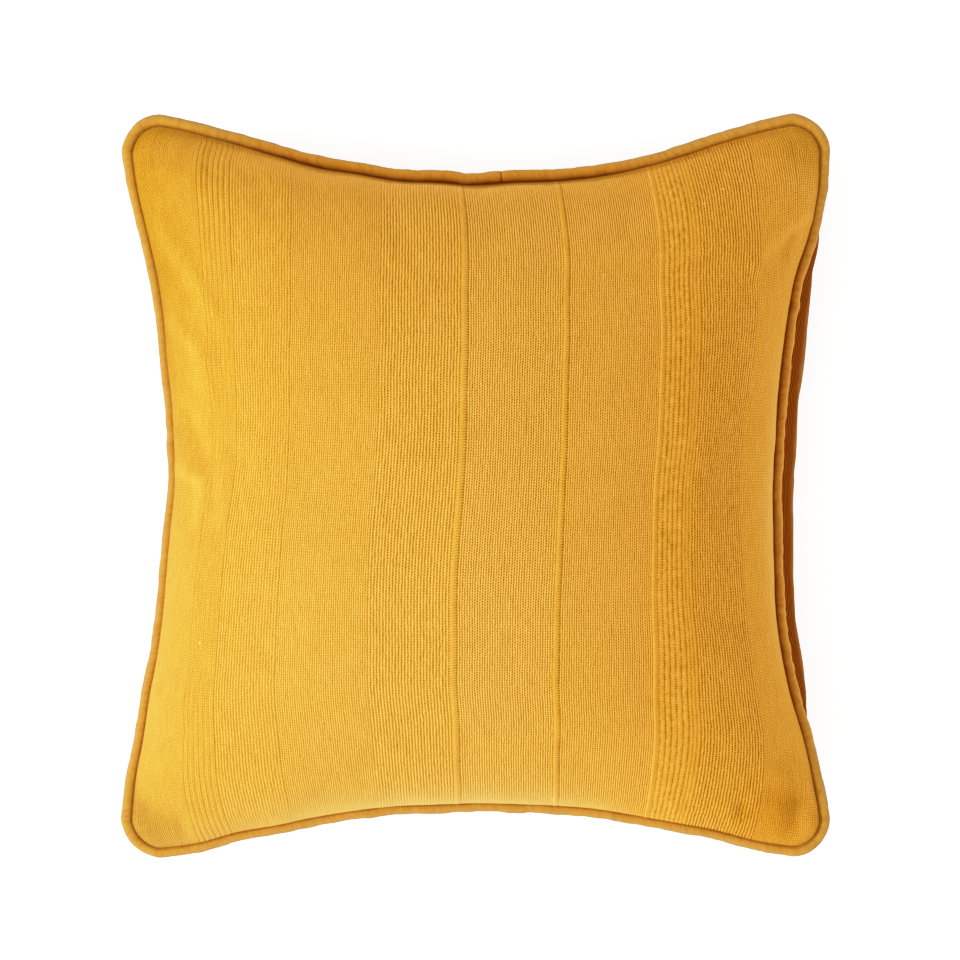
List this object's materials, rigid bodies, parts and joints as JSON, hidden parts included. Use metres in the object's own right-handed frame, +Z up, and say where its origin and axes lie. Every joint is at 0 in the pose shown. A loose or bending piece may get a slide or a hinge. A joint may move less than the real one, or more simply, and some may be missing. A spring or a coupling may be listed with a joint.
{
  "type": "filled square cushion cover with a piped edge",
  "caption": "Plump square cushion cover of ribbed cotton with raised woven cords, drawn-in sides, rounded corners and a piped edge, lying on its back.",
  "frame": {"origin": "on the surface that the cushion lies on, under the middle of its whole outline", "axes": "+Z up out of the front, +Y towards the top edge along the ribs, +X to the right of one who looks down at the front"},
  "size_m": [0.4278, 0.449, 0.1472],
  "materials": {
    "panel_cloth": "matt mustard cotton with woven ribs and raised cords",
    "piping_cloth": "matt ochre plain-woven cotton over a soft cord"
  },
  "bodies": {
    "root": {"front_panel": "panel_cloth", "back_panel": "panel_cloth", "piping": "piping_cloth"}
  },
  "joints": []
}
